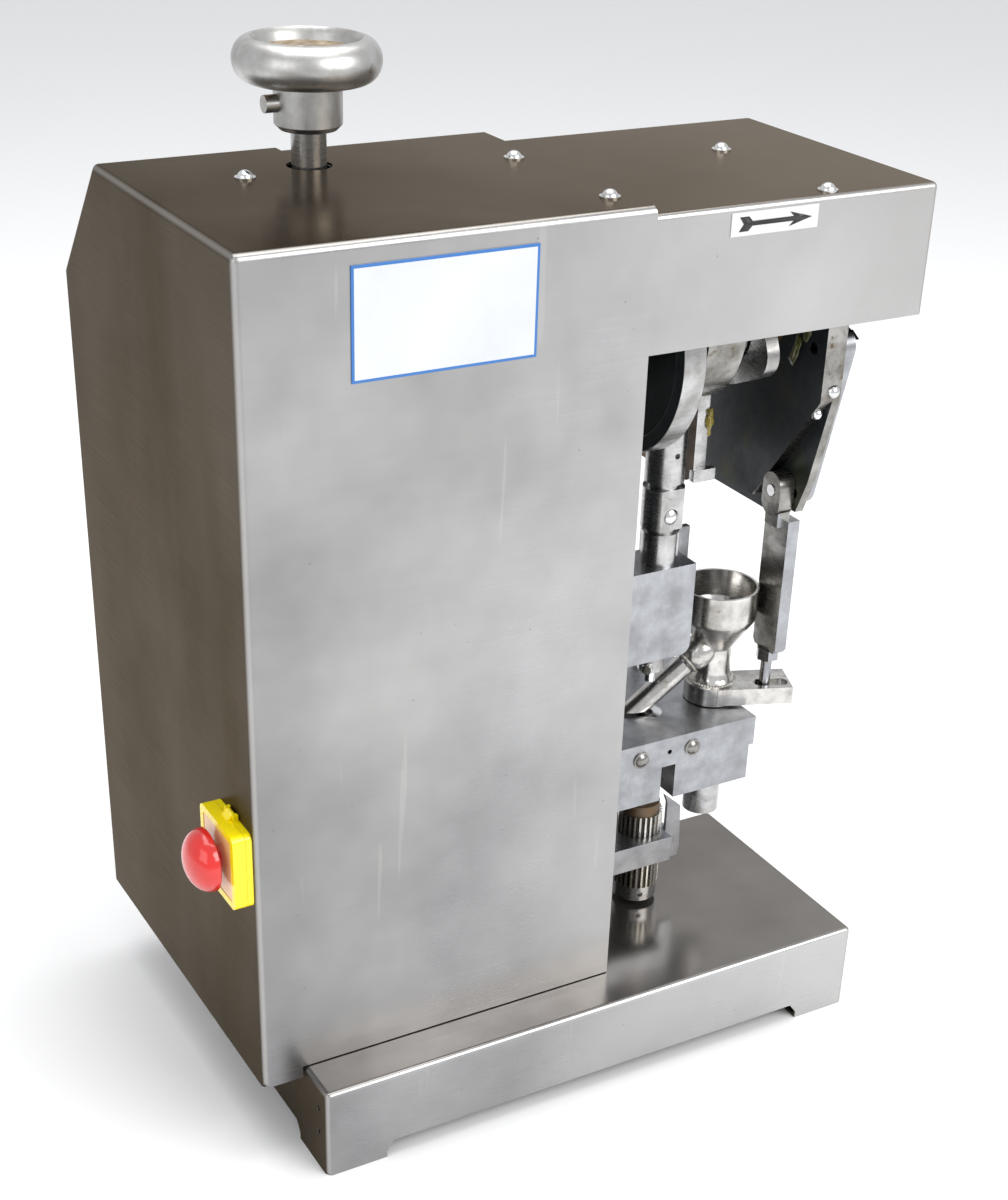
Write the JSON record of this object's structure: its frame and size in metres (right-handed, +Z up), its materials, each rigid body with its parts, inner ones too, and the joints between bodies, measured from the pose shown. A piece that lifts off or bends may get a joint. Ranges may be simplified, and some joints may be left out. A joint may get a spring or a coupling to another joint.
{
  "type": "single-punch tablet press",
  "caption": "Bench tablet press: sheet-covered frame with handwheel and emergency stop, open working end with punch ram, die table, swinging feed hopper and lower punch lift.",
  "frame": {"origin": "centre of the bounding box's footprint, on the floor", "axes": "+X towards the open working end, -Y towards the operator and label side, +Z up"},
  "size_m": [0.637, 0.402, 0.853],
  "materials": {
    "painted_sheet": "satin hammered grey sheet",
    "cast_black": "black oily casting",
    "rusty_cast": "brown oily casting",
    "steel": "machined steel",
    "blued_steel": "dark oiled steel",
    "bright_steel": "polished steel",
    "aluminium": "worn cast aluminium",
    "bronze": "bronze",
    "white_label": "printed label",
    "black_plastic": "matte",
    "belt": "matte",
    "motor_paint": "satin blue enamel",
    "yellow": "glossy",
    "orange_clear": "tinted clear",
    "red": "glossy",
    "green": "glossy"
  },
  "bodies": {
    "frame": {"base_plinth": "painted_sheet", "frame_column": "cast_black", "head_beam": "cast_black", "top_plate": "steel", "inner_bearing_plate": "rusty_cast", "bearing_shoe": "steel", "end_plate": "cast_black", "end_plate_screws": "bright_steel", "shaft_bushes": "bronze", "rear_cover": "painted_sheet", "cover_floor": "painted_sheet", "head_cover": "painted_sheet", "cover_screws": "bright_steel", "label_plate": "white_label", "arrow_plate": "white_label", "cable_gland": "black_plastic", "die_table": "steel", "table_screws": "bright_steel", "die": "bright_steel", "spindle_bush": "bronze", "guide_block": "steel", "oil_nipple": "aluminium", "worm_brackets": "cast_black", "motor_bracket": "cast_black", "motor": "motor_paint", "drive_belt": "belt", "estop_base": "yellow"},
    "main_shaft": {"main_shaft": "steel", "eccentric": "steel", "flywheel": "cast_black", "worm_wheel": "bronze", "lift_cam": "steel", "feed_cam": "steel"},
    "ram": {"eccentric_strap": "steel", "conrod": "steel", "conrod_bolt": "steel", "ram": "steel", "punch_screw": "bright_steel", "upper_punch": "bright_steel"},
    "worm_shaft": {"worm_shaft": "steel", "worm": "steel", "handwheel": "aluminium"},
    "motor_rotor": {"motor_pulley": "steel"},
    "feed_lever": {"feed_lever": "steel", "feed_rod": "steel", "feed_bolts": "steel"},
    "hopper": {"hopper": "aluminium", "feed_tube": "bright_steel", "hopper_arm": "steel", "hopper_spindle": "steel"},
    "lift": {"lift_bar": "steel", "lift_rod": "steel", "lower_punch": "steel"},
    "upper_ring": {"upper_ring": "blued_steel"},
    "lower_ring": {"lower_ring": "blued_steel"},
    "stop_lid": {"estop_lid": "yellow", "estop_window": "orange_clear"},
    "stop_mushroom": {"estop_button": "red"},
    "start_button": {"start_button": "green"},
    "stop_button": {"stop_button": "red"}
  },
  "joints": [
    {"name": "main_shaft_turn", "type": "hinge", "parent": "frame", "child": "main_shaft", "pos_m": [0.0595, -0.0615, 0.63], "axis": [1, 0, 0], "range_deg": [0, 180]},
    {"name": "ram_slide", "type": "slide", "parent": "frame", "child": "ram", "axis": [0, 0, 1], "range_m": [-0.0311, 0]},
    {"name": "worm_shaft_turn", "type": "hinge", "parent": "frame", "child": "worm_shaft", "pos_m": [-0.1255, 0.05, 0.63], "axis": [0, 0, 1], "range_deg": [0, 2251]},
    {"name": "motor_turn", "type": "hinge", "parent": "frame", "child": "motor_rotor", "pos_m": [-0.2005, 0.15, 0.5], "axis": [0, 0, 1], "range_deg": [0, 4502]},
    {"name": "feed_lever_swing", "type": "hinge", "parent": "frame", "child": "feed_lever", "pos_m": [0.265, -0.122, 0.62], "axis": [1, 0, 0], "range_deg": [-3.75, 0]},
    {"name": "hopper_swing", "type": "hinge", "parent": "frame", "child": "hopper", "pos_m": [0.2125, -0.0615, 0.29], "axis": [0, 0, 1], "range_deg": [-20.1, 0]},
    {"name": "lower_punch_lift", "type": "slide", "parent": "frame", "child": "lift", "axis": [0, 0, 1], "range_m": [0, 0.0115]},
    {"name": "upper_ring_turn", "type": "hinge", "parent": "lift", "child": "upper_ring", "pos_m": [0.1445, -0.0615, 0.17], "axis": [0, 0, 1], "continuous": true},
    {"name": "lower_ring_turn", "type": "hinge", "parent": "lift", "child": "lower_ring", "pos_m": [0.1445, -0.0615, 0.116], "axis": [0, 0, 1], "continuous": true},
    {"name": "stop_lid_flip", "type": "hinge", "parent": "frame", "child": "stop_lid", "pos_m": [-0.2785, -0.12, 0.32], "axis": [0, 1, 0], "range_deg": [0, 95]},
    {"name": "stop_mushroom_press", "type": "slide", "parent": "stop_lid", "child": "stop_mushroom", "axis": [1, 0, 0], "range_m": [0, 0.0025], "stiffness_N_per_m": 400},
    {"name": "start_button_press", "type": "slide", "parent": "frame", "child": "start_button", "axis": [1, 0, 0], "range_m": [0, 0.002], "stiffness_N_per_m": 300},
    {"name": "stop_button_press", "type": "slide", "parent": "frame", "child": "stop_button", "axis": [1, 0, 0], "range_m": [0, 0.002], "stiffness_N_per_m": 300}
  ],
  "couplings": [
    {"joint": "ram_slide", "follows": "main_shaft_turn", "m_per_rad": -0.0098676},
    {"joint": "worm_shaft_turn", "follows": "main_shaft_turn", "ratio": 12.5},
    {"joint": "motor_turn", "follows": "main_shaft_turn", "ratio": 25},
    {"joint": "feed_lever_swing", "follows": "main_shaft_turn", "ratio": -0.02065},
    {"joint": "hopper_swing", "follows": "main_shaft_turn", "ratio": -0.11111}
  ]
}
